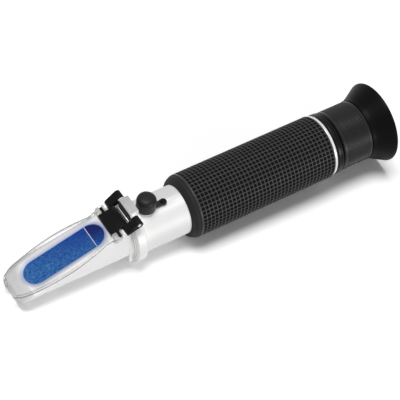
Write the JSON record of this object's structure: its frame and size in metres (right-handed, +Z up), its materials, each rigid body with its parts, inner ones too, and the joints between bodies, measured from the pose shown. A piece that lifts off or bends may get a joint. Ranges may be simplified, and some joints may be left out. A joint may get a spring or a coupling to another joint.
{
  "type": "handheld refractometer",
  "caption": "Handheld refractometer: slanted blue prism under a clear hinged daylight plate, capped calibration screw, textured rubber grip, focus ring and flared eyecup.",
  "frame": {"origin": "centre of the bounding box of the closed instrument; the optical axis runs along X, 0.45 mm below it", "axes": "+X along the optical axis from the prism to the eyecup, +Z up through the hinge block and the calibration cap, +Y to the far side of the picture"},
  "size_m": [0.2052, 0.041, 0.042],
  "materials": {
    "cast_metal": "bright satin plating",
    "steel": "bright",
    "brass": "satin",
    "black_plastic": "moulded, satin",
    "glossy_black_plastic": "glossy",
    "black_rubber": "moulded rubber",
    "dark_metal": "matt black",
    "clear_plastic": "clear moulded plastic",
    "blue_glass": "polished blue glass",
    "deep_blue_glass": "polished deep blue glass",
    "clear_glass": "polished",
    "prism_bed": "cement bed"
  },
  "bodies": {
    "body": {"prism_seat": "cast_metal", "seat_screw": "steel", "measuring_prism": "blue_glass", "prism_end_block": "deep_blue_glass", "prism_bed": "prism_bed", "hinge_pin": "steel", "detent_wire": "steel", "barrel_tube": "cast_metal", "screw_bush": "brass", "cap_strap": "black_rubber", "strap_anchor": "black_plastic", "return_spring": "steel", "strip_carrier": "dark_metal", "bimetal_strip_far": "brass", "strip_screw_far": "steel", "bimetal_strip_near": "brass", "strip_screw_near": "steel", "light_baffle_1": "dark_metal", "light_baffle_2": "dark_metal", "reticle_holder": "dark_metal", "reticle_glass": "clear_glass", "reticle_ring": "dark_metal", "eyepiece_sleeve": "dark_metal", "focus_key": "steel", "focus_seal": "black_rubber", "grip_sleeve": "black_rubber", "trim_ring": "steel", "rear_collar": "glossy_black_plastic"},
    "cover_bracket": {"hinge_bracket": "black_plastic"},
    "cover": {"daylight_plate": "clear_plastic"},
    "objective": {"objective_cell": "dark_metal", "objective_lens": "clear_glass", "objective_ring": "dark_metal"},
    "adjuster": {"calibration_screw": "steel"},
    "cap": {"calibration_cap": "black_rubber"},
    "lens_group": {"eyepiece_cell": "dark_metal", "field_lens": "clear_glass", "lens_spacer": "dark_metal", "eye_lens": "clear_glass", "lens_ring": "dark_metal"},
    "focus": {"focus_ring": "black_plastic", "focus_retainer": "dark_metal", "eyecup": "glossy_black_plastic"}
  },
  "joints": [
    {"name": "cover_hinge", "type": "hinge", "parent": "body", "child": "cover_bracket", "pos_m": [-0.0409, 0, 0.01775], "axis": [0, 1, 0], "range_deg": [0, 120]},
    {"name": "plate_rock", "type": "hinge", "parent": "cover_bracket", "child": "cover", "pos_m": [-0.0498, 0, 0.01344], "axis": [0, 1, 0], "range_deg": [0, 4]},
    {"name": "objective_travel", "type": "slide", "parent": "body", "child": "objective", "axis": [0, 0, 1], "range_m": [-0.0005, 0.0005], "deforming": ["return_spring"]},
    {"name": "calibration_turn", "type": "hinge", "parent": "objective", "child": "adjuster", "pos_m": [-0.0308, 0, 0.01045], "axis": [0, 0, 1], "range_deg": [-360.5, 360.5]},
    {"name": "cap_hinge", "type": "hinge", "parent": "body", "child": "cap", "pos_m": [-0.025, -0.0011, 0.0134], "axis": [0, 1, 0], "range_deg": [0, 85]},
    {"name": "focus_travel", "type": "slide", "parent": "body", "child": "lens_group", "axis": [1, 0, 0], "range_m": [0, 0.004]},
    {"name": "focus_turn", "type": "hinge", "parent": "lens_group", "child": "focus", "pos_m": [0.083, 0, -0.00045], "axis": [1, 0, 0], "range_deg": [0, 240.5]}
  ],
  "couplings": [
    {"joint": "calibration_turn", "follows": "objective_travel", "rad_per_m": 12566},
    {"joint": "focus_turn", "follows": "focus_travel", "rad_per_m": 1047.2}
  ]
}
